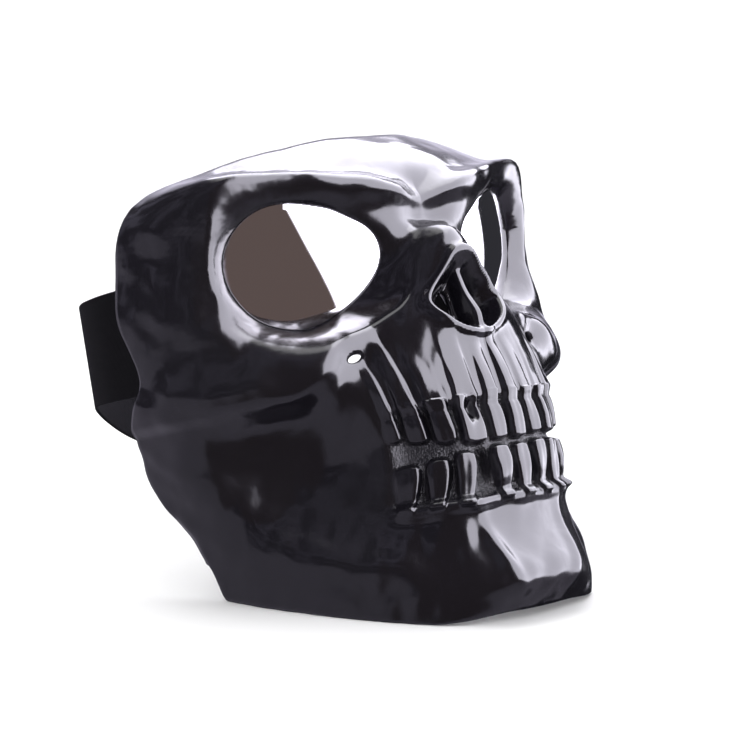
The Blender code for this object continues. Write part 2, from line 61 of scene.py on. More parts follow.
sections = {
    "jaw edge":    (0.000, 0.136, 0.868, 0.23, 0.842, 0.43, 0.745, 0.68, 0.440, 0.810, 0.210, 0.850, 0.050),
    "chin":        (0.065, 0.220, 0.938, 0.23, 0.905, 0.43, 0.760, 0.71, 0.420, 0.840, 0.180, 0.885, 0.010),
    "under lip":   (0.180, 0.320, 0.870, 0.25, 0.830, 0.40, 0.710, 0.68, 0.380, 0.870, 0.160, 0.930, -0.035),
    "lower teeth": (0.275, 0.390, 0.880, 0.24, 0.850, 0.385, 0.725, 0.67, 0.385, 0.910, 0.160, 0.955, -0.070),
    "upper teeth": (0.400, 0.480, 0.870, 0.24, 0.845, 0.385, 0.725, 0.69, 0.415, 0.940, 0.180, 0.980, -0.050),
    "maxilla":     (0.535, 0.570, 0.815, 0.23, 0.780, 0.43, 0.665, 0.74, 0.490, 0.950, 0.215, 0.990, 0.040),
    "cheek":       (0.645, 0.645, 0.765, 0.20, 0.710, 0.48, 0.610, 0.76, 0.455, 0.950, 0.215, 1.000, 0.012),
    "eye":         (0.740, 0.710, 0.695, 0.18, 0.660, 0.50, 0.585, 0.78, 0.408, 0.940, 0.215, 1.000, -0.020),
    "brow":        (0.830, 0.790, 0.600, 0.23, 0.620, 0.52, 0.580, 0.79, 0.432, 0.920, 0.235, 0.985, -0.015),
    "forehead":    (0.905, 0.850, 0.585, 0.23, 0.580, 0.50, 0.530, 0.75, 0.415, 0.885, 0.235, 0.960, 0.010),
    "top edge":    (1.000, 0.915, 0.400, 0.20, 0.395, 0.45, 0.340, 0.68, 0.255, 0.830, 0.140, 0.915, 0.045),
}
# Raised bone, by points along each ridge: x, z, relief (of faceDepth) and spread (of faceHeight).
brow = ((0.000, 0.836, 0.027, 0.027), (0.091, 0.852, 0.040, 0.027), (0.250, 0.866, 0.058, 0.027),
        (0.500, 0.883, 0.058, 0.027), (0.682, 0.896, 0.062, 0.030), (0.830, 0.896, 0.064, 0.036),
        (0.920, 0.852, 0.046, 0.038), (0.955, 0.798, 0.024, 0.038), (0.955, 0.721, 0.018, 0.038),
        (0.909, 0.645, 0.014, 0.038))
cheekbone = ((0.409, 0.590, 0.013, 0.033), (0.568, 0.552, 0.034, 0.043), (0.693, 0.522, 0.052, 0.052),
             (0.818, 0.512, 0.056, 0.050), (0.932, 0.516, 0.036, 0.049), (1.023, 0.519, 0.027, 0.049))
jawLine = ((0.955, 0.393, 0.008, 0.033), (0.864, 0.328, 0.012, 0.033), (0.795, 0.273, 0.016, 0.033),
           (0.727, 0.219, 0.020, 0.033), (0.636, 0.169, 0.020, 0.033), (0.489, 0.131, 0.011, 0.033))
chinCorner = ((0.210, 0.240, 0.007, 0.016), (0.193, 0.164, 0.014, 0.016),
              (0.170, 0.098, 0.014, 0.016), (0.114, 0.038, 0.004, 0.016))
# Sunk places: x, z, half width, half height and depth (of faceDepth).
hollows = {
    "cheek":   (0.580, 0.352, 0.165, 0.085, 0.040),
    "canine":  (0.495, 0.546, 0.066, 0.034, 0.032),
    "tear":    (0.273, 0.699, 0.080, 0.066, 0.027),
    "fossa":   (0.410, 0.600, 0.090, 0.080, 0.030),
    "chin":    (0.341, 0.120, 0.136, 0.049, 0.013),
}
# The side behind the brow stands out a little: its relief, and between which places it comes and goes.
sidePanel = {"relief": 0.018, "side": (0.82, 0.93), "low": (0.46, 0.49), "high": (0.82, 0.66)}
# Each tooth: its start and end across, its tip's level, how far it stands (of toothStand), and its lean.
upperTeeth = ((-0.388, -0.351, 0.368, 0.70, 0.3), (-0.351, -0.281, 0.360, 0.85, -0.2),
              (-0.281, -0.181, 0.352, 1.00, 0.2), (-0.181, -0.076, 0.344, 1.05, -0.3),
              (-0.076, -0.011, 0.345, 0.94, 0.4), (-0.011, 0.052, 0.343, 1.05, -0.2),
              (0.052, 0.111, 0.347, 0.90, 0.3), (0.111, 0.184, 0.344, 1.02, -0.4),
              (0.184, 0.281, 0.350, 1.00, 0.2), (0.281, 0.351, 0.361, 0.85, -0.2),
              (0.351, 0.388, 0.369, 0.70, 0.0))
lowerTeeth = ((-0.384, -0.316, 0.326, 0.72, 0.2), (-0.316, -0.225, 0.331, 0.90, -0.3),
              (-0.225, -0.130, 0.337, 1.00, 0.3), (-0.088, -0.016, 0.341, 1.00, -0.2),
              (-0.016, 0.049, 0.339, 0.94, 0.3), (0.049, 0.113, 0.341, 1.00, -0.3),
              (0.113, 0.186, 0.339, 0.96, 0.3), (0.186, 0.260, 0.336, 0.98, -0.2),
              (0.260, 0.330, 0.330, 0.88, 0.2), (0.330, 0.388, 0.325, 0.75, 0.0))
# Each row: the level of its roots, how much a crown narrows at its tip, its width at the root, and its bow.
rowLook = {
    "upper": {"root": 0.432, "waist": 0.10, "neck": 0.76, "belly": 0.22},
    "lower": {"root": 0.246, "waist": 0.14, "neck": 0.50, "belly": 0.16},
}
crownShape = {
    "width": 1.03,  # crowns overlap a little
    "waist": 0.22,  # how far up from its tip a crown is narrower, as a share of its height
    "neck": (0.25, 1.3),  # where it starts to narrow toward its root, and how steadily
    "tilt": 0.10,
    "bowed": 0.20,
    "turned": 0.16,
    "grooves": (0.02, 8),  # depth, and turns in radians over half the width
    "flat": 0.62,  # how much of its width stands at full height
    "edge": (0.0020, -0.0070),  # the biting edge, round its tip's level
    "roundEdge": (0.006, 0.002),  # how the edge curves and slants across a tooth
}
mouthShape = {
    "ends": (0.40, 0.345),  # where the rows fade out across
    "low": (0.240, 0.257),  # the sunk band's lower border
    "high": (0.440, 0.415),  # and its upper one
    "rootFade": (0.41, 0.448, 0.55),  # start, end and loss of height where a crown becomes a root
    "rootLevel": 0.44,
    "rootReach": 0.082,
    "rootSway": ((41, 0.6, 0.026), (97, 0, 0.016)),  # rate, start and size of the waves in the roots' reach
    "rootHeight": (0.75, 0.45, 19, 2.2),  # mean, and size, rate and start of its wave
    "lowerRoots": (0.229, 0.251),  # where the lower crowns come out of the lip
    "lip": (0.234, 0.014, 0.34, 0.10, 31),  # level, spread, height, and size and rate of its wave
    "pits": ((-0.120, 0.412, 0.017, 0.022, 1.1, 2),  # across, level, half sizes, depth and squareness
             (-0.108, 0.298, 0.018, 0.036, 1.2, 4)),
}
noseShape = {
    "bridgeWidth": (0.085, 0.62, 0.765, 0.22),  # least, and its gain below a level, up to a limit
    "bridgeHeight": (0.028, 0.038, 0.630, 0.745),  # low down, its gain, and between which levels
    "bridgeTop": (0.814, 0.743),  # it fades out upward between these levels, and downward between the next
    "bridgeFoot": (0.540, 0.600),
    "notch": (0.024, 0.10, 0.803, 0.027),  # depth, half width, level and half height
    "opening": (0.165, 0.633, 0.070),  # half width, level and half height
    "narrowing": (0.55, 0.620, 0.705),  # share of the width lost, and between which levels
    "rim": (0.017, 1.10, 0.13),  # height, and middle and spread in radii of the opening
    "sunk": (0.095, 1.05, 0.74),  # depth, and where it starts and ends in radii
    "middleWall": (0.044, 0.044, 0.700, 0.580),  # height, its gain, and between which levels
}


def smoothStep(start, end, value):  # 0 up to start, 1 from end, level at both ends
    share = np.clip((value - start) / (end - start), 0, 1)
    return share * share * (3 - 2 * share)


def splineWeights(knots, at):  # how much each knot counts at each asked place, on a natural cubic spline
    knots = np.asarray(knots, float)
    at = np.asarray(at, float)
    count = len(knots)
    gap = np.diff(knots)
    system = np.eye(count)
    bends = np.zeros((count, count))
    for i in range(1, count - 1):
        system[i, i - 1:i + 2] = gap[i - 1], 2 * (gap[i - 1] + gap[i]), gap[i]
        bends[i, i - 1:i + 2] = 6 / gap[i - 1], -6 / gap[i - 1] - 6 / gap[i], 6 / gap[i]
    curve = np.linalg.solve(system, bends)
    cell = np.clip(np.searchsorted(knots, at, side="right") - 1, 0, count - 2)
    width = gap[cell]
    left = ((knots[cell + 1] - at) / width)[:, None]
    right = 1 - left
    unit = np.eye(count)
    lift = (width ** 2 / 6)[:, None]
    return (left * unit[cell] + right * unit[cell + 1]
            + (left ** 3 - left) * lift * curve[cell] + (right ** 3 - right) * lift * curve[cell + 1])


def smoothThrough(points, count):  # evenly spaced points on a smooth line through the given ones
    points = np.asarray(points, float)
    return splineWeights(np.linspace(0, 1, len(points)), np.linspace(0, 1, count)) @ points


# The smooth face: each level section is a spline through its stations, and splines join the sections. A
# section rises to the rear in proportion to how far it lies behind its middle.
def baseFace(across, up):
    table = np.array(list(sections.values()))
    share = dict(zip(face["columns"], (splineWeights(table[:, 0], up) @ table).T))
    names = ("arch", "muzzle", "cheek", "side", "rear")
    xHalf = np.stack([0 * share["f_mid"]] + [share["x_" + n] for n in names], 1)
    fHalf = np.stack([share["f_mid"]] + [share["f_" + n] for n in names], 1)
    stations = np.array(face["stations"])
    weights = splineWeights(np.concatenate([-stations[:0:-1], stations]), across)
    x = np.concatenate([-xHalf[:, :0:-1], xHalf], 1) @ weights.T
    f = np.concatenate([fHalf[:, :0:-1], fHalf], 1) @ weights.T
    middle = share["f_mid"][:, None]
    tilt = (share["z_rear"] - share["z_mid"])[:, None] / (middle - share["f_rear"][:, None])
    z = share["z_mid"][:, None] + tilt * (middle - f)
    return np.stack([x * face["halfWidth"], f * face["faceDepth"], z * face["faceHeight"]], -1)


def outward(points):  # unit normals of a grid: the cross product of its steps along rows and columns
    normal = np.cross(np.gradient(points, axis=0), np.gradient(points, axis=1))
    return normal / np.linalg.norm(normal, axis=-1, keepdims=True)


def ridge(x, z, line):  # a rounded ridge: height * exp(-(distance / width)^2) from the line's nearest piece
    nearest = np.full(x.shape, 1e9)
    relief = np.zeros(x.shape)
    for start, end in zip(line[:-1], line[1:]):
        step = end - start
        along = np.clip(((x - start[0]) * step[0] + (z - start[1]) * step[1])
                        / (step[0] ** 2 + step[1] ** 2), 0, 1)
        away = np.hypot(x - start[0] - along * step[0], z - start[1] - along * step[1])
        height = start[2] + along * step[2]
        width = start[3] + along * step[3]
        closer = away < nearest
        relief = np.where(closer, height * np.exp(-(away / width) ** 2), relief)
        nearest = np.where(closer, away, nearest)
    return relief


def boneLine(x, z, rows):  # a ridge along the smooth line through a table's rows
    scale = (face["halfWidth"], face["faceHeight"], face["faceDepth"], face["faceHeight"])
    return ridge(x, z, smoothThrough(rows, 4 * len(rows)) * scale)


# One row of teeth: each crown is a rounded block, widest a little way from its tip, that narrows toward its
# root. Its front is bowed, leans to one side and has two shallow grooves. The rest is 0.
def toothRow(across, level, rows, root, waist, neck, belly):
    relief = np.zeros(level.shape)
    for start, end, tip, height, lean in rows:
        towardRoot = np.clip((level - tip) / (root - tip), 0, 1.3)
        neckFrom, neckPower = crownShape["neck"]
        narrower = (1 - neck) * np.clip(towardRoot - neckFrom, 0, 2) ** neckPower
        tapered = 1 - waist * np.exp(-(towardRoot / crownShape["waist"]) ** 2) - narrower
        half = (end - start) / 2 * crownShape["width"] * tapered
        aside = (across - (start + end) / 2) / half + crownShape["tilt"] * lean * (towardRoot - 0.5)
        fromMiddle = np.abs(aside)
        depth, rate = crownShape["grooves"]
        grooves = depth * np.cos(rate * aside) * np.exp(-aside ** 2)
        front = 1 - crownShape["bowed"] * fromMiddle ** 2 + crownShape["turned"] * lean * aside - grooves
        bow = 1 + belly * np.sin(math.pi * np.clip(towardRoot, 0, 1))
        away = (tip - level) if root > tip else (level - tip)
        curve, slant = crownShape["roundEdge"]
        biting = smoothStep(*crownShape["edge"], away + (curve * aside ** 2 + slant * lean * aside))
        flanks = smoothStep(1.0, crownShape["flat"], fromMiddle)
        relief = np.maximum(relief, height * flanks * front * bow * biting)
    return relief


# The mouth: a sunk band with two rows of teeth, roots that run up from the upper row, a lip below and two
# pits. Also gives how deep each place lies between the teeth, from 0 to 1.
def teeth(across, z):
    level = z / face["faceHeight"]
    fade = smoothStep(*mouthShape["ends"], np.abs(across))
    mouth = smoothStep(*mouthShape["low"], level) * smoothStep(*mouthShape["high"], level)
    upper = toothRow(across, level, upperTeeth, **rowLook["upper"])
    reach = mouthShape["rootReach"]
    for rate, start, size in mouthShape["rootSway"]:
        reach = reach + size * np.sin(rate * across + start)
    mean, size, rate, start = mouthShape["rootHeight"]
    above = np.abs(level - mouthShape["rootLevel"])
    roots = np.exp(-(above / reach) ** 2) * (mean + size * np.sin(rate * across + start))
    low, high, loss = mouthShape["rootFade"]
    upper = upper * (1 - loss * smoothStep(low, high, level))
    upper = upper * np.where(level > mouthShape["rootLevel"], roots, 1)
    lower = toothRow(across, level, lowerTeeth, **rowLook["lower"])
    lower = lower * smoothStep(*mouthShape["lowerRoots"], level)
    middle, halfHeight, height, size, rate = mouthShape["lip"]
    lip = (height + size * np.sin(rate * across)) * np.exp(-((level - middle) / halfHeight) ** 2)
    pit = 0
    for midAcross, midLevel, halfAcross, halfLevel, depth, power in mouthShape["pits"]:
        away = ((across - midAcross) / halfAcross) ** power + ((level - midLevel) / halfLevel) ** power
        pit = pit + depth * np.exp(-away)
    crowns = np.maximum(upper, lower)
    relief = -face["toothGap"] * mouth + face["toothStand"] * (crowns + lip - pit)
    return fade * relief, fade * mouth * smoothStep(0.45, 0.10, crowns)


# The nose: the bridge, a rim round the pear-shaped opening, and the opening sunk behind a standing wall.
def nose(x, z):
    side = x / face["halfWidth"]
    level = z / face["faceHeight"]
    width, gain, top, most = noseShape["bridgeWidth"]
    width = width + gain * np.clip(top - level, 0, most)
    height, gain, low, high = noseShape["bridgeHeight"]
    crest = height + gain * smoothStep(low, high, level)
    bridge = crest * np.exp(-(side / width) ** 2) * smoothStep(*noseShape["bridgeTop"], level)
    bridge *= smoothStep(*noseShape["bridgeFoot"], level)
    depth, halfWidth, middle, halfHeight = noseShape["notch"]
    notch = depth * np.exp(-(side / halfWidth) ** 2 - ((level - middle) / halfHeight) ** 2)
    loss, low, high = noseShape["narrowing"]
    narrowing = 1 - loss * smoothStep(low, high, level)
    halfWidth, middle, halfHeight = noseShape["opening"]
    ring = np.hypot(side / (halfWidth * narrowing), (level - middle) / halfHeight)
    height, radius, width = noseShape["rim"]
    rimHeight = height * np.exp(-((ring - radius) / width) ** 2)
    wall = np.exp(-(x / (0.5 * face["septum"])) ** 4)
    height, gain, low, high = noseShape["middleWall"]
    step = height + gain * smoothStep(low, high, level)
    depth, start, end = noseShape["sunk"]
    sunk = smoothStep(start, end, ring) * (depth - step * wall)
    return (bridge - notch + rimHeight - sunk) * face["faceDepth"]


holes = {
    "lensWidth": 0.0577,
    "lensRadius": 0.110,  # of the sphere that the lens is cut from
    "lensCentre": (0.500, 0.4955, 0.743),
    "lensTurn": math.radians(29),
    "lensTilt": math.radians(9),
    # Radius of the eye opening (of lensWidth) every 20 degrees, from its outer end over its top.
    "lensOutline": (0.536, 0.531, 0.496, 0.448, 0.396, 0.364, 0.366, 0.386, 0.444,
                    0.462, 0.422, 0.381, 0.367, 0.383, 0.415, 0.443, 0.480, 0.509),
    # Width of the slope round the opening (of lensWidth): on all sides, and what is added on three of them.
    "slope": {"all": 0.048, "above": 0.100, "inner": 0.190, "below": 0.190},
    "nostril": (0.0066, 0.016),
    "nostrilPlace": (0.62, 0.622),
    "foramen": (0.0062, 0.0038),  # the small hole under the eye
    "foramenPlace": (0.495, 0.640, 0.545),
    "foramenTurn": math.radians(32),
    "foramenLean": math.radians(-20),
    "ovalReach": 0.03,  # the small holes cut nothing farther from their places than this
}


def scaled(place):  # shares turned into metres, by the face's half width, depth and height
    return np.array(place) * (face["halfWidth"], face["faceDepth"], face["faceHeight"])


def lensFrame():  # centre, axis, outward and upward directions of the lens on the +x side
    turn, tilt = holes["lensTurn"], holes["lensTilt"]
    centre = scaled(holes["lensCentre"])
    axis = np.array([math.sin(turn) * math.cos(tilt), math.cos(turn) * math.cos(tilt), -math.sin(tilt)])
    out = np.array([math.cos(turn), -math.sin(turn), 0.0])
    return centre, axis, out, np.cross(out, axis)


def lensReach(angle):  # radius of the eye opening in each direction, by a spline through the table
    turns = np.radians(np.arange(-18, 36) * 20)  # a turn before and a turn after, so that the spline closes
    weights = splineWeights(turns, np.ravel(angle) % (2 * math.pi))
    return (weights @ np.tile(holes["lensOutline"], 3)).reshape(np.shape(angle)) * holes["lensWidth"]


def sagOf(radius):  # how far a sphere falls away from its top at a radius: R - sqrt(R^2 - radius^2)
    return holes["lensRadius"] - np.sqrt(holes["lensRadius"] ** 2 - radius ** 2)


def flipLeft(points):  # -1 for x on the left half, to work there as on the right
    return np.where(points[..., :1] < 0, -1.0, 1.0) * (1, 0, 0) + (0, 1, 1)


# Along each normal: the way to the lens's sphere, how far outside the eye's outline it meets that sphere,
# and in which direction from the lens's middle.
def meetLens(points, normal):
    centre, axis, out, rise = lensFrame()
    flip = flipLeft(points)
    points, normal = points * flip, normal * flip
    fromMiddle = points - (centre - axis * holes["lensRadius"])
    half = (fromMiddle * normal).sum(-1)
    inside = half ** 2 - ((fromMiddle ** 2).sum(-1) - holes["lensRadius"] ** 2)
    way = -half + np.sqrt(np.clip(inside, 0, None))
    local = points + normal * way[..., None] - centre
    a, b = local @ out, local @ rise
    angle = np.arctan2(b, a)
    return way, np.hypot(a, b) - lensReach(angle), angle


def ovalField(points, place, size, turn, lean):  # how far outside an oval prism points are, below 0 inside
    out = np.array([math.cos(turn), -math.sin(turn), 0.0])
    local = points * flipLeft(points) - np.array(place)
    across, rise = local @ out, local[..., 2]
    a = (across * math.cos(lean) + rise * math.sin(lean)) / (0.5 * size[0])
    b = (-across * math.sin(lean) + rise * math.cos(lean)) / (0.5 * size[1])
    near = np.linalg.norm(local, axis=-1) < holes["ovalReach"]
    return np.where(near, (np.hypot(a, b) - 1) * 0.5 * min(size), 1.0)


shellLook = {
    "rows": 83,  # of the inner grid, and its columns
    "columns": 109,
    "innerStep": 3,  # the outer grid has this many cells for each of the inner one's
    "rimTurns": 4,
    "rimBulge": 0.0006,
    "corner": (0.91, 0.066),  # where the jaw's rear corners start to rise, and how far (of faceHeight)
    "chin": (0.08, 0.40, 0.020),  # how far across the chin is raised, and how far it rises
    "riseTop": 0.22,  # both rises end at this level
    "innerCap": (0.2, 0.68, 0.80),  # the inside's highest relief (of faceDepth), and where it falls to none
    "innerCalm": 4,  # cells over which the inside's relief is evened out
    "eyeBorder": (0.001, 0.004),  # outer and inner border points this near an eye's outline are put on it
    "black": (0.0065, 0.0058, 0.0085),
    "roughness": 0.17,
    "peel": 0.08,
    "waves": ((31.0, 12.0, 24.0, 0.3, 0.00022),  # turns for each metre along x, f and z, start and height
              (-22.0, 38.0, 41.0, 1.9, 0.00016),
              (52.0, -20.0, -35.0, 4.1, 0.00012),
              (-60.0, 44.0, 58.0, 2.6, 0.00008),
              (81.0, 66.0, -49.0, 5.2, 0.00006)),
}


# A hand-worked unevenness of the surface: a sum of sine waves in five directions, about 9 to 24 mm long.
# It dies away toward the foot and, in part, toward the top edge.
def ripple(points):
    waves = np.array(shellLook["waves"])
    phase = points @ waves[:, :3].T * 2 * math.pi + waves[:, 3]
    height = (np.sin(phase + 0.8 * np.sin(phase[..., ::-1] * 0.6)) * waves[:, 4]).sum(-1)
    z = points[..., 2]
    return height * smoothStep(0.0, 0.008, z) * (1 - 0.7 * smoothStep(0.85, 0.93, z / face["faceHeight"]))


# How far the outer face stands off the smooth one: the sum of its ridges, hollows, teeth and nose, which
# blends into the lens's sphere round each eye. Also gives how far each place is outside an eye, and how
# deep between the teeth.
def reliefOf(across, points, normal):
    x, z = np.abs(points[..., 0]), points[..., 2]
    side, level = x / face["halfWidth"], z / face["faceHeight"]
    height = boneLine(x, z, brow) + boneLine(x, z, cheekbone)
    height += boneLine(x, z, jawLine) + boneLine(x, z, chinCorner)
    panel = smoothStep(*sidePanel["side"], side) * smoothStep(*sidePanel["low"], level)
    height += sidePanel["relief"] * face["faceDepth"] * (panel * smoothStep(*sidePanel["high"], level))
    for midX, midZ, halfX, halfZ, depth in hollows.values():
        away = ((side - midX) / halfX) ** 2 + ((level - midZ) / halfZ) ** 2
        height -= depth * face["faceDepth"] * np.exp(-away)
    rows, between = teeth(across[None, :], z)
    height += nose(x, z) + rows + ripple(points)
    way, outside, angle = meetLens(points, normal)
    above = smoothStep(0.2, 0.9, np.sin(angle))
    below = smoothStep(0.2, 0.9, -np.sin(angle))
    inner = smoothStep(0.2, 0.95, -np.cos(angle))
    slope = holes["slope"]
    width = slope["all"] + slope["above"] * above + slope["inner"] * inner + slope["below"] * below
    share = np.clip(outside / (width * holes["lensWidth"]), 0, 1)
    return np.where(share < 1, way + (height - way) * (1 - (1 - share) ** 2), height), outside, between


def stand(points):  # leans the face back, with its jaw edge on the floor
    jaw = dict(zip(face["columns"], sections["jaw edge"]))
    sin, cos = math.sin(face["lean"]), math.cos(face["lean"])
    drop = jaw["z_mid"] * face["faceHeight"] * cos + jaw["f_mid"] * face["faceDepth"] * sin
    x, f, z = np.moveaxis(np.asarray(points), -1, 0)
    return np.stack([x, z * sin - f * cos, z * cos + f * sin - drop], -1)


def spread(start, end, count, dense):  # places from start to end, closer where dense(place) is high
    fine = np.linspace(start, end, 4001)
    travel = np.concatenate([[0], np.cumsum((dense(fine[1:]) + dense(fine[:-1])) / 2)])
    return np.interp(np.linspace(0, travel[-1], count), travel, fine)


def lowestNear(height, reach):  # the lowest value within reach cells, then evened out over as many
    rows, columns = height.shape
    for axis, size in ((0, rows), (1, columns)):
        index = np.clip(np.arange(size)[:, None] + np.arange(-reach, reach + 1), 0, size - 1)
        height = np.take(height, index, axis=axis).min(axis + 1)
    for axis, size in ((0, rows), (1, columns)):
        index = np.clip(np.arange(size)[:, None] + np.arange(-reach // 2, reach // 2 + 1), 0, size - 1)
        height = np.take(height, index, axis=axis).mean(axis + 1)
    return height


# Cuts the holes out of a grid, where the field is below 0: along each edge that a hole's border crosses,
# the nearer end moves to the crossing, at a / (a - b) of the way. Gives the moved arrays, the kept
# triangles and the moved points.
def trimGrid(arrays, field):
    rows, columns = field.shape
    uncrossed = 9.0
    best = np.full(field.shape, uncrossed)
    moves = [np.zeros_like(a) for a in arrays]
    for di, dj in ((0, 1), (0, -1), (1, 0), (-1, 0), (1, 1), (-1, -1)):
        here = (slice(max(0, -di), rows - max(0, di)), slice(max(0, -dj), columns - max(0, dj)))
        there = (slice(max(0, di), rows - max(0, -di)), slice(max(0, dj), columns - max(0, -dj)))
        a, b = field[here], field[there]
        crossed = a * b < 0
        share = np.where(crossed, a / np.where(crossed, a - b, 1), uncrossed)
        better = (share <= 0.5) & (share < best[here])
        best[here] = np.where(better, share, best[here])
        for array, move in zip(arrays, moves):
            whole = better.reshape(better.shape + (1,) * (array.ndim - 2))
            part = share.reshape(share.shape + (1,) * (array.ndim - 2))
            move[here] = np.where(whole, part * (array[there] - array[here]), move[here])
    moved = best < 1
    field = np.where(moved, 0.0, field)
    index = np.arange(rows * columns).reshape(rows, columns)
    a, b, c, d = index[:-1, :-1], index[:-1, 1:], index[1:, 1:], index[1:, :-1]
    halves = [np.stack([a, b, c], -1), np.stack([a, c, d], -1)]
    triangles = np.concatenate([half.reshape(-1, 3) for half in halves])
    corners = field.ravel()[triangles]
    kept = (corners.min(1) >= 0) & (corners.max(1) > 0)
    return [array + move for array, move in zip(arrays, moves)], triangles[kept], moved


def borderEdges(triangles, count):  # the edges that only one triangle has, in that triangle's direction
    edges = np.concatenate([triangles[:, [0, 1]], triangles[:, [1, 2]], triangles[:, [2, 0]]])
    key = edges[:, 0] * count + edges[:, 1]
    back = edges[:, 1] * count + edges[:, 0]
    return edges[~np.isin(key, back)]


# A half-round rim between the outer and the inner border: centre + half * cos + push * bulge * sin. Its
# first ring is the outer border, and the others are numbered on from first.
def rim(outer, inner, normal, triangles, first):
    count = len(outer)
    edges = borderEdges(triangles, count)
    along = outer[edges[:, 1]] - outer[edges[:, 0]]
    tangent = np.zeros((count, 3))
    np.add.at(tangent, edges[:, 0], along)
    np.add.at(tangent, edges[:, 1], along)
    used = np.unique(edges)
    push = np.cross(tangent[used], normal[used])
    push /= np.linalg.norm(push, axis=1, keepdims=True) + 1e-12
    slot = np.zeros(count, int)
    slot[used] = np.arange(len(used))
    centre, half = (outer[used] + inner[used]) / 2, (outer[used] - inner[used]) / 2
    turns = np.linspace(0, math.pi, shellLook["rimTurns"] + 1)[1:]
    rings = [centre + half * math.cos(t) + push * shellLook["rimBulge"] * math.sin(t) for t in turns]
    vertices = np.concatenate(rings)
    a, b = edges[:, 0], edges[:, 1]
    faces = []
    low, high = a, b
    for k in range(len(turns)):
        nextLow, nextHigh = first + k * len(used) + slot[a], first + k * len(used) + slot[b]
        faces += [np.stack([high, low, nextLow], 1), np.stack([high, nextLow, nextHigh], 1)]
        low, high = nextLow, nextHigh
    return vertices, np.concatenate(faces)


# Points on an eye's border: the same direction from the lens's middle, at the outline's radius. They lie on
# the lens's sphere, or keep their own depth behind it.
def onOutline(points, keepDepth):
    centre, axis, out, rise = lensFrame()
    flip = flipLeft(points)
    local = points * flip - centre
    angle = np.arctan2(local @ rise, local @ out)
    reach = lensReach(angle)
    depth = (local @ axis) if keepDepth else -sagOf(reach)
    return (centre + (reach * np.cos(angle))[:, None] * out + (reach * np.sin(angle))[:, None] * rise
            + depth[:, None] * axis) * flip


def columnsWanted(across):  # the grid's columns lie about three times closer over the teeth
    return 0.75 + 1.6 * smoothStep(0.46, 0.38, np.abs(across))


def rowsWanted(up):  # its rows lie about twice as close over the teeth, and a little closer over the eyes
    teethRows = smoothStep(0.19, 0.23, up) * smoothStep(0.50, 0.44, up)
    return 0.8 + 1.1 * teethRows + 0.5 * smoothStep(0.50, 0.56, up) * smoothStep(0.92, 0.86, up)


# The whole shell: an outer grid of smooth face + normal * relief, rims round every border, and an inner
# grid a wall's thickness behind, with calmer relief.
def shellSurface():
    step = shellLook["innerStep"]
    across = spread(-1, 1, shellLook["columns"] * step + 1, columnsWanted)
    up = spread(0, 1, shellLook["rows"] * step + 1, rowsWanted)
    points = baseFace(across, up)
    edge = (1 - smoothStep(0.0, shellLook["riseTop"], up))[:, None]
    start, rise = shellLook["corner"]
    corner = smoothStep(start, 1.0, np.abs(across)) * rise
    start, end, rise = shellLook["chin"]
    front = (1 - smoothStep(start, end, np.abs(across))) * rise
    points[..., 2] += (corner * edge + front * edge ** 2) * face["faceHeight"]
    normal = outward(points)
    height, outsideEye, between = reliefOf(across, points, normal)
    most, start, end = shellLook["innerCap"]
    cap = most * face["faceDepth"] * (1 - smoothStep(start, end, np.abs(across)))
    calm = lowestNear(height, shellLook["innerCalm"])
    inner = points + normal * (np.minimum(calm, cap) - face["wall"])[..., None]
    outer = points + normal * height[..., None]
    nostril = ((0.5 * (face["septum"] + holes["nostril"][0])) / face["halfWidth"], *holes["nostrilPlace"])
    field = np.minimum(outsideEye, ovalField(outer, scaled(nostril), holes["nostril"], 0.0, 0.0))
    field = np.minimum(field, ovalField(outer, scaled(holes["foramenPlace"]), holes["foramen"],
                                        holes["foramenTurn"], holes["foramenLean"]))
    coarseEye = np.abs(outsideEye[::step, ::step])
    moved, triangles, border = trimGrid([outer, inner, outward(outer), outsideEye, between], field)
    outer, backSide, facing, outsideEye, between = [a.reshape(-1, *a.shape[2:]) for a in moved]
    eye = border.ravel() & (np.abs(outsideEye) < shellLook["eyeBorder"][0])
    outer[eye] = onOutline(outer[eye], False)
    backSide[eye] = onOutline(backSide[eye], True)
    foot = (corner + front) * face["faceHeight"] * math.cos(face["lean"])
    outer, backSide, facing = stand(outer), stand(backSide), stand(facing) - stand(np.zeros(3))
    outer[:len(across), 2] = foot
    backSide[:len(across), 2] = foot
    rimPoints, rimFaces = rim(outer, backSide, facing, triangles, len(outer))
    moved, innerTriangles, border = trimGrid([inner[::step, ::step]], field[::step, ::step])
    innerGrid = moved[0].reshape(-1, 3)
    innerEye = border.ravel() & (coarseEye.ravel() < shellLook["eyeBorder"][1])
    innerGrid[innerEye] = onOutline(innerGrid[innerEye], True)
    innerGrid = stand(innerGrid)
    innerGrid[:len(across[::step]), 2] = foot[::step]
    first = len(outer) + len(rimPoints)
    vertices = np.concatenate([outer, rimPoints, innerGrid])
    faces = np.concatenate([triangles, rimFaces, innerTriangles[:, ::-1] + first])
    vertices[:, 2] = np.maximum(vertices[:, 2], 0)
    return vertices, faces, {"between": between}


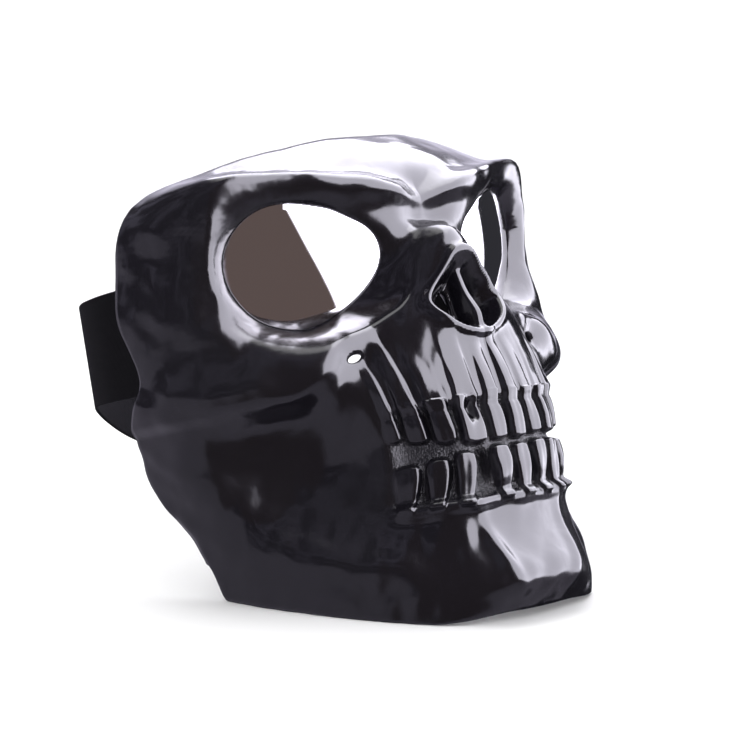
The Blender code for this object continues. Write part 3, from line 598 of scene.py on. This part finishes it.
# A mesh object of the vertices that the faces use, shaded smooth, with each mark as a value on every
# vertex. A mark that is shorter than the vertices is 0 on the rest.
def meshObject(name, vertices, faces, marks=()):
    used = np.unique(faces)
    slot = np.zeros(len(vertices), int)
    slot[used] = np.arange(len(used))
    mesh = bpy.data.meshes.new(name)
    mesh.vertices.add(len(used))
    mesh.vertices.foreach_set("co", vertices[used].astype(np.float32).ravel())
    size = faces.shape[1]
    mesh.loops.add(faces.size)
    mesh.loops.foreach_set("vertex_index", slot[faces].astype(np.int32).ravel())
    mesh.polygons.add(len(faces))
    mesh.polygons.foreach_set("loop_start", np.arange(0, faces.size, size, dtype=np.int32))
    mesh.update(calc_edges=True)
    mesh.validate()
    mesh.shade_smooth()
    for key in marks:
        values = np.zeros(len(vertices))
        values[:len(marks[key])] = marks[key]
        attribute = mesh.attributes.new(key, "FLOAT", "POINT")
        attribute.data.foreach_set("value", values[used].astype(np.float32))
    thing = bpy.data.objects.new(name, mesh)
    bpy.context.scene.collection.objects.link(thing)
    return thing


lensLook = {
    "rings": 10,
    "turns": 96,
    "thickness": 0.0020,
    "recess": 0.0006,  # how far the lens's front lies behind the opening's border
    "clearance": 0.0004,
    "edge": 0.0004,
    "tint": (0.86, 0.85, 0.86),
    "roughness": 0.02,
}


# The stood face moves, so that the rear rim of the lens worked out here reaches as far back as the lens of
# the frame.
def frameShift():
    centre, axis, out, rise = lensFrame()
    angle = np.linspace(0, 2 * math.pi, 24, endpoint=False)
    reach = lensReach(angle) - lensLook["clearance"]
    depth = sagOf(reach) + lensLook["recess"] + lensLook["thickness"]
    rearRim = (centre + (reach * np.cos(angle))[:, None] * out + (reach * np.sin(angle))[:, None] * rise
               - depth[:, None] * axis)
    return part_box("lens_right")[1][1] - stand(rearRim)[:, 1].max()


shift = np.array([0.0, frameShift(), 0.0])
vertices, faces, marks = shellSurface()
skull = meshObject("skull_shell", vertices + shift, faces, marks)
print("shell", len(faces), "triangles, shifted by", shift[1])


def principled(name, colour, roughness, metallic=0.0):  # a new material, its node tree and its main shader
    made = bpy.data.materials.new(name)
    made.use_nodes = True
    shader = made.node_tree.nodes["Principled BSDF"]
    shader.inputs["Base Color"].default_value = (*colour, 1)
    shader.inputs["Roughness"].default_value = roughness
    shader.inputs["Metallic"].default_value = metallic
    return made, made.node_tree, shader


def addNode(tree, kind, settings=(), **values):  # values are inputs, with _ for a space in an input's name
    node = tree.nodes.new(kind)
    for key, value in dict(settings).items():
        setattr(node, key, value)
    for key, value in values.items():
        node.inputs[key.replace("_", " ")].default_value = value
    return node


# A bump from noise at a place: scale is cells for each metre, and distance the height. Its strength is a
# number or a socket, and it adds to the bump before it.
def noiseBump(tree, place, scale, detail, strength, distance, distortion=0.0, before=None):
    noise = addNode(tree, "ShaderNodeTexNoise", Scale=scale, Detail=detail, Roughness=0.5,
                    Distortion=distortion)
    bump = addNode(tree, "ShaderNodeBump", Distance=distance)
    tree.links.new(place, noise.inputs["Vector"])
    tree.links.new(noise.outputs["Fac"], bump.inputs["Height"])
    if isinstance(strength, float):
        bump.inputs["Strength"].default_value = strength
    else:
        tree.links.new(strength, bump.inputs["Strength"])
    if before:
        tree.links.new(before.outputs["Normal"], bump.inputs["Normal"])
    return bump


def mapped(tree, value, low, high, toLow, toHigh):  # toLow at low, toHigh at high, a smooth step between
    node = addNode(tree, "ShaderNodeMapRange", {"interpolation_type": "SMOOTHSTEP"})
    for key, number in (("From Min", low), ("From Max", high), ("To Min", toLow), ("To Max", toHigh)):
        node.inputs[key].default_value = number
    tree.links.new(value, node.inputs["Value"])
    return node.outputs[0]


# Gloss over a worked surface: a broad swell, wrinkles that come and go in patches, a fine peel, and grit
# between the teeth.
def glossBlack():
    made, tree, shader = principled("gloss_black_shell", shellLook["black"], shellLook["roughness"])
    place = addNode(tree, "ShaderNodeTexCoord").outputs["Object"]
    patches = addNode(tree, "ShaderNodeTexNoise", Scale=26.0, Detail=2.0, Roughness=0.55)
    tree.links.new(place, patches.inputs["Vector"])
    between = addNode(tree, "ShaderNodeAttribute", {"attribute_name": "between"}).outputs["Fac"]
    swell = noiseBump(tree, place, scale=40.0, detail=1.5, strength=0.8, distance=0.0020, distortion=0.3)
    wrinkles = mapped(tree, patches.outputs["Fac"], 0.44, 0.62, 0.12, 0.75)
    creased = noiseBump(tree, place, scale=120.0, detail=1.5, strength=wrinkles, distance=0.0006,
                        distortion=0.4, before=swell)
    peel = noiseBump(tree, place, scale=520.0, detail=2.0, strength=shellLook["peel"], distance=0.0002,
                     before=creased)
    grit = noiseBump(tree, place, scale=1500.0, detail=2.0, strength=between, distance=0.0009, before=peel)
    tree.links.new(grit.outputs["Normal"], shader.inputs["Normal"])
    tree.links.new(mapped(tree, patches.outputs["Fac"], 0.35, 0.65, shellLook["roughness"] - 0.05,
                          shellLook["roughness"] + 0.06), shader.inputs["Roughness"])
    return made


skull.data.materials.append(glossBlack())
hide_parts("shell")
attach(skull, "root")


# A lens is a cap of the sphere, inside the eye's outline, with a rounded edge. Its profile runs from the
# front's middle out to the edge, round it, and back to the rear's middle. Each point of it is a share of
# the outline's radius, pulled in by the edge, and lies a depth behind the sphere.
def lensSurface(side):
    centre, axis, out, rise = lensFrame()
    angle = np.linspace(0, 2 * math.pi, lensLook["turns"], endpoint=False)
    reach = lensReach(angle) - lensLook["clearance"]
    flat = np.linspace(0, 1, lensLook["rings"] + 1)[1:]
    bend = np.linspace(0, math.pi / 2, 4)[1:]
    edge = lensLook["edge"]
    inward = np.concatenate([0 * flat, edge * (1 - np.cos(bend))])
    share = np.concatenate([flat, np.ones(3)])
    pull = np.concatenate([flat * 0 + edge, edge * (1 - np.sin(bend))])
    pulled = reach - np.concatenate([pull, pull[::-1]])[:, None]
    radius = np.concatenate([share, share[::-1]])[:, None] * pulled
    depth = np.concatenate([inward, (lensLook["thickness"] - inward)[::-1]]) + lensLook["recess"]
    a, b = radius * np.cos(angle), radius * np.sin(angle)
    behind = sagOf(radius) + depth[:, None]
    rings = centre + a[..., None] * out + b[..., None] * rise - behind[..., None] * axis
    ends = np.stack([centre - depth[0] * axis, centre - depth[-1] * axis])
    vertices = np.concatenate([rings.reshape(-1, 3), ends])
    count, turns = rings.shape[:2]
    i, j = np.meshgrid(np.arange(count - 1), np.arange(turns), indexing="ij")
    n = (j + 1) % turns
    a, b, c, d = i * turns + j, i * turns + n, (i + 1) * turns + n, (i + 1) * turns + j
    faces = np.concatenate([np.stack([a, d, c], -1).reshape(-1, 3), np.stack([a, c, b], -1).reshape(-1, 3)])
    k = np.arange(turns)
    last = (count - 1) * turns
    front = np.stack([np.full(turns, count * turns), k, (k + 1) % turns], 1)
    rear = np.stack([np.full(turns, count * turns + 1), last + (k + 1) % turns, last + k], 1)
    faces = np.concatenate([faces, front, rear])
    if side < 0:
        return stand(vertices * (-1, 1, 1)) + shift, faces
    return stand(vertices) + shift, faces[:, ::-1]


def mirrorCoat():  # a mirror with a trace of haze, over a surface that waves very slightly
    made, tree, shader = principled("mirror_lens_coat", lensLook["tint"], lensLook["roughness"], 1.0)
    place = addNode(tree, "ShaderNodeTexCoord").outputs["Object"]
    haze = addNode(tree, "ShaderNodeTexNoise", Scale=90.0, Detail=4.0, Roughness=0.6)
    tree.links.new(place, haze.inputs["Vector"])
    tree.links.new(mapped(tree, haze.outputs["Fac"], 0.4, 0.7, 0.015, 0.05), shader.inputs["Roughness"])
    wave = noiseBump(tree, place, scale=30.0, detail=1.0, strength=0.4, distance=0.0003)
    tree.links.new(wave.outputs["Normal"], shader.inputs["Normal"])
    return made


mirror = mirrorCoat()
for side, word in ((1, "right"), (-1, "left")):
    lens = meshObject("lens_plate_" + word, *lensSurface(side))
    lens.data.materials.append(mirror)
    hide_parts("lens_" + word)
    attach(lens, "root")
print("lenses")

band = {
    "width": 0.040,
    "thickness": 0.0013,
    "clearance": 0.0004,  # between the wall, the strap and a pad
    "level": 0.659,  # height of the strap's middle where it is tucked in
    "tuck": (0.20, 0.01),  # the tucked end runs between these places, forward and rear
    "side": (0.70, 1.0, 40),  # the part of the wall that the end lies against, and its steps, across
    "heights": (0.4, 0.95, 80),  # and up
    "count": 260,
    "steps": 13,
    "route": ((0.935, -0.10, 0.662), (0.915, -0.24, 0.677), (0.870, -0.38, 0.708), (0.770, -0.55, 0.740),
              (0.560, -0.69, 0.736), (0.280, -0.77, 0.680), (0.000, -0.80, 0.610), (-0.280, -0.77, 0.575),
              (-0.560, -0.69, 0.615), (-0.770, -0.55, 0.660), (-0.870, -0.38, 0.664), (-0.915, -0.24, 0.662),
              (-0.935, -0.10, 0.660)),
    "black": (0.0045, 0.0042, 0.0055),
    "roughness": 0.75,
    "sheen": 0.06,
    "weave": (0.0011, 0.0016),  # pitch along the strap and across it
}


# The strap's middle where it lies flat inside the side wall: at each forward place, the innermost of the
# wall's rows beside it.
def tuckedLine(side, start, end, count):
    wall = baseFace(np.linspace(*band["side"]), np.linspace(*band["heights"]))
    wall = wall - outward(wall) * (face["wall"] + band["clearance"])
    middle = band["level"] * face["faceHeight"]
    beside = wall[np.abs(wall[:, -1, 2] - middle) < 0.5 * band["width"] + face["wall"]]
    f = np.linspace(start, end, count) * face["faceDepth"]
    x = np.min([np.interp(f, row[::-1, 1], row[::-1, 0]) for row in beside], axis=0)
    return np.stack([side * (x - 0.5 * band["thickness"]), f, np.full(count, middle)], 1)


def strapLine(count):  # one smooth line from inside the right wall, behind the shell, to inside the left
    route = scaled(band["route"])
    tuck = tuckedLine(1, *band["tuck"], 4)
    points = np.concatenate([tuck, route, tuck[::-1] * (-1, 1, 1)])
    travel = np.concatenate([[0], np.cumsum(np.linalg.norm(np.diff(points, axis=0), axis=1))])
    return splineWeights(travel, np.linspace(0, travel[-1], count)) @ points


# A band carried along a line: its section is a flat bar with half-round long edges, upright in the face's
# frame and moved inward by an offset. Its marks are the way along the line and the height on the band.
def bandSurface(line, width, offset, thickness, steps):
    along = np.gradient(line, axis=0)
    travel = np.concatenate([[0], np.cumsum(np.linalg.norm(np.diff(line, axis=0), axis=1))])
    flat = along * (1, 1, 0)
    flat /= np.linalg.norm(flat, axis=1, keepdims=True)
    inward = np.stack([flat[:, 1], -flat[:, 0], 0 * flat[:, 0]], 1)
    inward *= np.sign((inward[:, :1] * -line[:, :1]).sum())
    radius = 0.5 * thickness
    rise = np.linspace(-0.5 * width + radius, 0.5 * width - radius, steps)
    turn = np.linspace(0, math.pi, 7)[1:-1]
    up = np.concatenate([rise, 0.5 * width - radius + radius * np.sin(turn), rise[::-1],
                         -0.5 * width + radius - radius * np.sin(turn)])
    off = np.concatenate([np.full(steps, -radius), -radius * np.cos(turn), np.full(steps, radius),
                          radius * np.cos(turn)])
    points = line[:, None] + inward[:, None] * (offset + off)[None, :, None] + up[None, :, None] * (0, 0, 1)
    count, ring = points.shape[:2]
    i, j = np.meshgrid(np.arange(count - 1), np.arange(ring), indexing="ij")
    n = (j + 1) % ring
    a, b, c, d = i * ring + j, i * ring + n, (i + 1) * ring + n, (i + 1) * ring + j
    quads = np.stack([a, b, c, d], -1).reshape(-1, 4)
    marks = {"along": np.repeat(travel, ring), "rise": np.tile(up, count)}
    vertices = points.reshape(-1, 3)
    ends = np.stack([points[0].mean(0), points[-1].mean(0)])
    k = np.arange(ring)
    rear = (count - 1) * ring
    first = np.stack([np.full(ring, len(vertices)), (k + 1) % ring, k], 1)
    last = np.stack([np.full(ring, len(vertices) + 1), rear + k, rear + (k + 1) % ring], 1)
    faces = np.concatenate([quads[:, [0, 1, 2]], quads[:, [0, 2, 3]], first, last])
    vertices = stand(np.concatenate([vertices, ends])) + shift
    marks = {key: np.concatenate([value, [value[0], value[-1]]]) for key, value in marks.items()}
    corners = vertices[faces]
    volume = (corners[:, 0] * np.cross(corners[:, 1], corners[:, 2])).sum()  # below 0 if faces point inward
    return vertices, faces if volume > 0 else faces[:, ::-1], marks


def webbing():  # woven ribs: the sine of the way along times the sine of the height on the band, as a bump
    made, tree, shader = principled("black_webbing_weave", band["black"], band["roughness"])
    shader.inputs["Specular IOR Level"].default_value = band["sheen"]
    along = addNode(tree, "ShaderNodeAttribute", {"attribute_name": "along"})
    rise = addNode(tree, "ShaderNodeAttribute", {"attribute_name": "rise"})
    ribs = []
    for source, pitch in zip((along, rise), band["weave"]):
        turns = addNode(tree, "ShaderNodeMath", {"operation": "MULTIPLY"})
        turns.inputs[1].default_value = 2 * math.pi / pitch
        wave = addNode(tree, "ShaderNodeMath", {"operation": "SINE"})
        tree.links.new(source.outputs["Fac"], turns.inputs[0])
        tree.links.new(turns.outputs[0], wave.inputs[0])
        ribs.append(wave)
    weave = addNode(tree, "ShaderNodeMath", {"operation": "MULTIPLY"})
    tree.links.new(ribs[0].outputs[0], weave.inputs[0])
    tree.links.new(ribs[1].outputs[0], weave.inputs[1])
    bump = addNode(tree, "ShaderNodeBump", Strength=0.6, Distance=0.0003)
    tree.links.new(weave.outputs[0], bump.inputs["Height"])
    tree.links.new(bump.outputs["Normal"], shader.inputs["Normal"])
    return made


line = strapLine(band["count"])
strap = meshObject("strap_band", *bandSurface(line, band["width"], 0.0, band["thickness"], band["steps"]))
print("strap", round(1000 * float(np.linalg.norm(np.diff(line, axis=0), axis=1).sum())), "mm long")
strap.data.materials.append(webbing())
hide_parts("strap")
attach(strap, "root")


padLook = {
    "width": 0.6 * band["width"],
    "thickness": 0.0025,
    "tuck": (0.19, 0.07),
    "count": 24,
    "steps": 7,
    "black": (0.02, 0.02, 0.022),
    "roughness": 0.5,
}


def padPlastic():  # plain black with a fine grain
    made, tree, shader = principled("black_pad_plastic", padLook["black"], padLook["roughness"])
    place = addNode(tree, "ShaderNodeTexCoord").outputs["Object"]
    grain = noiseBump(tree, place, scale=900.0, detail=2.0, strength=0.4, distance=0.0002)
    tree.links.new(grain.outputs["Normal"], shader.inputs["Normal"])
    return made


padBlack = padPlastic()
for side, word in ((1, "right"), (-1, "left")):
    line = tuckedLine(side, *padLook["tuck"], padLook["count"])
    away = 0.5 * (band["thickness"] + padLook["thickness"]) + band["clearance"]
    pad = meshObject("pad_block_" + word, *bandSurface(line, padLook["width"], away, padLook["thickness"],
                                                       padLook["steps"]))
    pad.data.materials.append(padBlack)
    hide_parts("strap_pad_" + word)
    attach(pad, "root")
print("pads")

studio = {
    "floorSize": 12.0,
    "floorDrop": 0.0002,  # how far the floor lies below the jaw's edge
    "floorWhite": 0.86,
    "skyWhite": 1.12,
    "softbox": {"place": (0.15, 0.15, 1.3), "target": (0, 0, 0.1), "size": (1.1, 0.9), "watts": 9},
}
# What the gloss reflects. Directions are in degrees round from the front and in shares of straight up (z).
reflected = {
    "dim": (0.38, 0.36, 0.47),
    "patch": (0.07, 0.065, 0.08),
    "patchFoot": (-0.12, 0.05),
    "ground": (0.50, 0.47, 0.58),
    "groundEdge": (0.02, -0.06),
    "dusk": (0.115, 0.086, 0.080),  # the brown part straight behind the camera
    "duskFrom": -66.0,
    "duskPast": 0.75,  # how far it runs past the wall's near border, in radians
    "duskFoot": (-0.75, -0.55),
    "wallFrom": -15.0,  # the bright wall's near border, and its far one
    "wallTo": 89.0,
    "wallTilt": 0.52,  # how far the near border leans, in radians for each unit of z
    "wallTiltTop": 0.45,
    "wallSoft": 0.03,
    "wallLow": -0.32,
    "wallLowSoft": 0.04,
    "wallLight": 10.5,
    "wallColour": (0.90, 0.88, 1.0),
    "ceiling": 75.0,  # how far the wall's far border runs on overhead
    "ceilingEdge": (0.35, 0.62),
    "shade": (0.03, 0.03, 0.036),  # the dark part past the wall, and where it ends
    "shadeTo": 128.0,
    "shadeUnder": 0.2,  # how far it starts under the wall, in radians
    "shadeTop": (0.55, 0.45),
    "beyond": (1.20, 1.15, 1.40),  # the pale part past that
    "beyondTo": 172.0,
    "beyondFoot": (-0.25, -0.10),
}


def floorObject():  # a large pale square under the mask, which the gloss doesn't show
    size = studio["floorSize"]
    vertices = np.array([[-size, -size, 0], [size, -size, 0], [size, size, 0], [-size, size, 0]], float)
    vertices[:, 2] -= studio["floorDrop"]
    floor = meshObject("floor", vertices, np.array([[0, 1, 2], [0, 2, 3]]))
    made, tree, shader = principled("pale_floor", (studio["floorWhite"],) * 3, 0.8)
    shader.inputs["Specular IOR Level"].default_value = 0.2
    floor.data.materials.append(made)
    floor.visible_glossy = False


def areaLight(name, place, target, size, watts):  # a white rectangle of light that faces its target
    data = bpy.data.lights.new(name, "AREA")
    data.shape = "RECTANGLE"
    data.size, data.size_y = size
    data.energy = watts
    light = bpy.data.objects.new(name, data)
    light.location = place
    light.rotation_euler = (Vector(target) - Vector(place)).to_track_quat("-Z", "Y").to_euler()
    bpy.context.scene.collection.objects.link(light)


floorObject()
areaLight("overhead_softbox", **studio["softbox"])


# The reflected studio, by direction: dim grey with dark patches over a pale floor, a dusky brown part straight
# behind the camera, a bright wall of soft light on the right that runs on overhead, and a dark and a pale
# part beyond it.
def glossWorld(tree):
    place = addNode(tree, "ShaderNodeTexCoord").outputs["Generated"]
    apart = addNode(tree, "ShaderNodeSeparateXYZ")
    tree.links.new(place, apart.inputs[0])

    def join(kind, a, b):  # a Math node of two numbers or sockets
        node = addNode(tree, "ShaderNodeMath", {"operation": kind})
        for slot, value in enumerate((a, b)):
            if isinstance(value, (int, float)):
                node.inputs[slot].default_value = value
            else:
                tree.links.new(value, node.inputs[slot])
        return node.outputs[0]

    def inRange(value, start, end, soft):  # 1 from start to end, 0 outside, with soft borders
        return join("MULTIPLY", mapped(tree, value, start - soft, start + soft, 0, 1),
                    mapped(tree, value, end - soft, end + soft, 1, 0))

    def blend(share, low, high):  # low where the share is 0, high where it is 1
        node = addNode(tree, "ShaderNodeMixRGB")
        for slot, value in enumerate((share, low, high)):
            if isinstance(value, tuple):
                node.inputs[slot].default_value = (*value, 1)
            else:
                tree.links.new(value, node.inputs[slot])
        return node.outputs[0]

    x, y, z = apart.outputs
    wallFrom, wallTo = math.radians(reflected["wallFrom"]), math.radians(reflected["wallTo"])
    shadeTo, beyondTo = math.radians(reflected["shadeTo"]), math.radians(reflected["beyondTo"])
    duskFrom, ceiling = math.radians(reflected["duskFrom"]), math.radians(reflected["ceiling"])
    azimuth = join("ARCTAN2", x, join("MULTIPLY", y, -1.0))
    lean = join("MULTIPLY", join("MINIMUM", z, reflected["wallTiltTop"]), reflected["wallTilt"])
    over = join("MULTIPLY", mapped(tree, z, *reflected["ceilingEdge"], 0, 1), ceiling)
    soft, low, lowSoft = reflected["wallSoft"], reflected["wallLow"], reflected["wallLowSoft"]
    leaned = join("ADD", azimuth, lean)
    wall = join("MULTIPLY", mapped(tree, leaned, wallFrom - soft, wallFrom + soft, 0, 1),
                mapped(tree, join("SUBTRACT", azimuth, over), wallTo - soft, wallTo + soft, 1, 0))
    wall = join("MULTIPLY", wall, mapped(tree, z, low - lowSoft, low + lowSoft, 0, 1))
    noise = addNode(tree, "ShaderNodeTexNoise", Scale=5.0, Detail=3.0, Roughness=0.55)
    tree.links.new(place, noise.inputs["Vector"])
    patches = join("MULTIPLY", mapped(tree, noise.outputs["Fac"], 0.42, 0.52, 0, 1),
                   mapped(tree, z, *reflected["patchFoot"], 0, 1))
    colour = blend(patches, reflected["dim"], reflected["patch"])
    colour = blend(mapped(tree, z, *reflected["groundEdge"], 0, 1), colour, reflected["ground"])
    dusk = join("MULTIPLY", inRange(azimuth, duskFrom, wallFrom + reflected["duskPast"], 0.12),
                mapped(tree, z, *reflected["duskFoot"], 0, 1))
    colour = blend(dusk, colour, reflected["dusk"])
    shade = join("MULTIPLY", inRange(azimuth, wallTo - reflected["shadeUnder"], shadeTo, 0.08),
                 mapped(tree, z, *reflected["shadeTop"], 0, 1))
    colour = blend(shade, colour, reflected["shade"])
    beyond = join("MULTIPLY", inRange(azimuth, shadeTo, beyondTo, 0.12),
                  mapped(tree, z, *reflected["beyondFoot"], 0, 1))
    colour = blend(beyond, colour, reflected["beyond"])
    unlit = addNode(tree, "ShaderNodeBackground", Strength=1.0)
    tree.links.new(colour, unlit.inputs["Color"])
    lit = addNode(tree, "ShaderNodeBackground")
    lit.inputs["Color"].default_value = (*reflected["wallColour"], 1)
    tree.links.new(join("MULTIPLY", wall, reflected["wallLight"]), lit.inputs["Strength"])
    both = addNode(tree, "ShaderNodeAddShader")
    tree.links.new(unlit.outputs[0], both.inputs[0])
    tree.links.new(lit.outputs[0], both.inputs[1])
    return both.outputs[0]


# The camera sees a plain white world, and only the gloss sees the reflected studio.
def studioWorld():
    world = bpy.data.worlds.new("studio")
    bpy.context.scene.world = world
    world.use_nodes = True
    tree = world.node_tree
    tree.nodes.clear()
    path = addNode(tree, "ShaderNodeLightPath")
    seen = addNode(tree, "ShaderNodeBackground", Strength=studio["skyWhite"])
    seen.inputs["Color"].default_value = (1, 1, 1, 1)
    mix = addNode(tree, "ShaderNodeMixShader")
    output = addNode(tree, "ShaderNodeOutputWorld")
    tree.links.new(path.outputs["Is Glossy Ray"], mix.inputs[0])
    tree.links.new(seen.outputs[0], mix.inputs[1])
    tree.links.new(glossWorld(tree), mix.inputs[2])
    tree.links.new(mix.outputs[0], output.inputs[0])


studioWorld()

view = {
    "azimuth": -39.5,  # degrees from straight in front, toward the near side
    "elevation": 9.0,
    "distance": 0.85,
    "target": (-0.0155, -0.02, 0.07785),
    "lens": 111.8,
    "sensor": 36,
}
turn, lift = math.radians(view["azimuth"]), math.radians(view["elevation"])
back = Vector((math.sin(turn) * math.cos(lift), -math.cos(turn) * math.cos(lift), math.sin(lift)))
cameraData = bpy.data.cameras.new("camera")
cameraData.lens = view["lens"]
cameraData.sensor_width = view["sensor"]
camera = bpy.data.objects.new("camera", cameraData)
camera.location = Vector(view["target"]) + Vector(shift) + back * view["distance"]
camera.rotation_mode = "QUATERNION"
camera.rotation_quaternion = (-back).to_track_quat("-Z", "Y")
bpy.context.scene.collection.objects.link(camera)
bpy.context.scene.camera = camera
bpy.context.scene.view_settings.view_transform = "Standard"
print("studio and camera")
